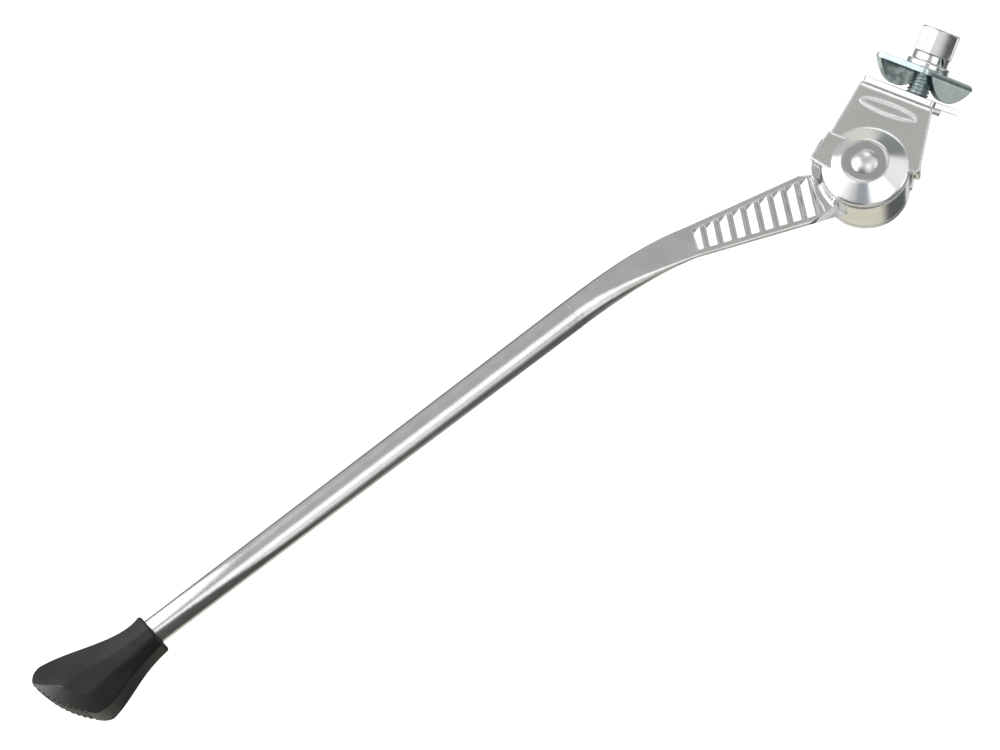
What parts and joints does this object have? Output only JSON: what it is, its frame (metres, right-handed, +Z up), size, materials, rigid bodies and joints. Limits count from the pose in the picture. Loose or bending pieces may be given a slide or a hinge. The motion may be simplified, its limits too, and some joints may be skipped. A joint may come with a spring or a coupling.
{
  "type": "bicycle kickstand",
  "caption": "Kickstand for a bicycle's chain stays: bolted clamp plate, stamped pivot bracket and a bent cast leg with a ribbed neck and a flared foot, which folds up beside the wheel.",
  "frame": {"origin": "where the clamp bolt's axis meets the top face of the seat plate, on which the chain stays rest", "axes": "+Z up along the clamp bolt, -Y the outer side where the leg hangs, +X the way the leg folds up, which is toward the bicycle's rear wheel"},
  "size_m": [0.1859, 0.189, 0.3077],
  "materials": {
    "bracket": "satin sheet steel, turned bright on the pressed cone",
    "seat_plate": "satin, zinc plated",
    "weld_nut": "zinc plated",
    "leg": "satin casting",
    "foot": "satin moulded",
    "pivot_rivet": "bright",
    "pivot_spring": "oiled spring steel",
    "spring_washer": "plain",
    "clamp_plate": "bright zinc",
    "flat_washer": "bright zinc",
    "lock_washer": "bright zinc",
    "clamp_bolt": "bright zinc"
  },
  "bodies": {
    "base": {"bracket": "bracket", "seat_plate": "seat_plate", "weld_nut": "weld_nut", "pivot_rivet": "pivot_rivet", "pivot_spring": "pivot_spring", "spring_washer": "spring_washer"},
    "swing_leg": {"leg": "leg", "foot": "foot"},
    "clamp_washers": {"flat_washer": "flat_washer", "lock_washer": "lock_washer"},
    "bolt": {"clamp_bolt": "clamp_bolt"},
    "clamp": {"clamp_plate": "clamp_plate"}
  },
  "joints": [
    {"name": "leg_swing", "type": "hinge", "parent": "base", "child": "swing_leg", "pos_m": [0.0019, -0.0426, -0.02784], "axis": [0, -0.8988, 0.4384], "range_deg": [0, 114]},
    {"name": "clamp_travel", "type": "slide", "parent": "base", "child": "clamp_washers", "axis": [0, 0, 1], "range_m": [-0.0005, 0.016]},
    {"name": "bolt_turn", "type": "hinge", "parent": "clamp_washers", "child": "bolt", "pos_m": [0, 0, 0], "axis": [0, 0, 1], "range_deg": [-150, 4620]},
    {"name": "clamp_swivel", "type": "hinge", "parent": "clamp_washers", "child": "clamp", "pos_m": [0, 0, 0], "axis": [0, 0, 1], "continuous": true}
  ],
  "couplings": [
    {"joint": "bolt_turn", "follows": "clamp_travel", "rad_per_m": 5026.5}
  ]
}
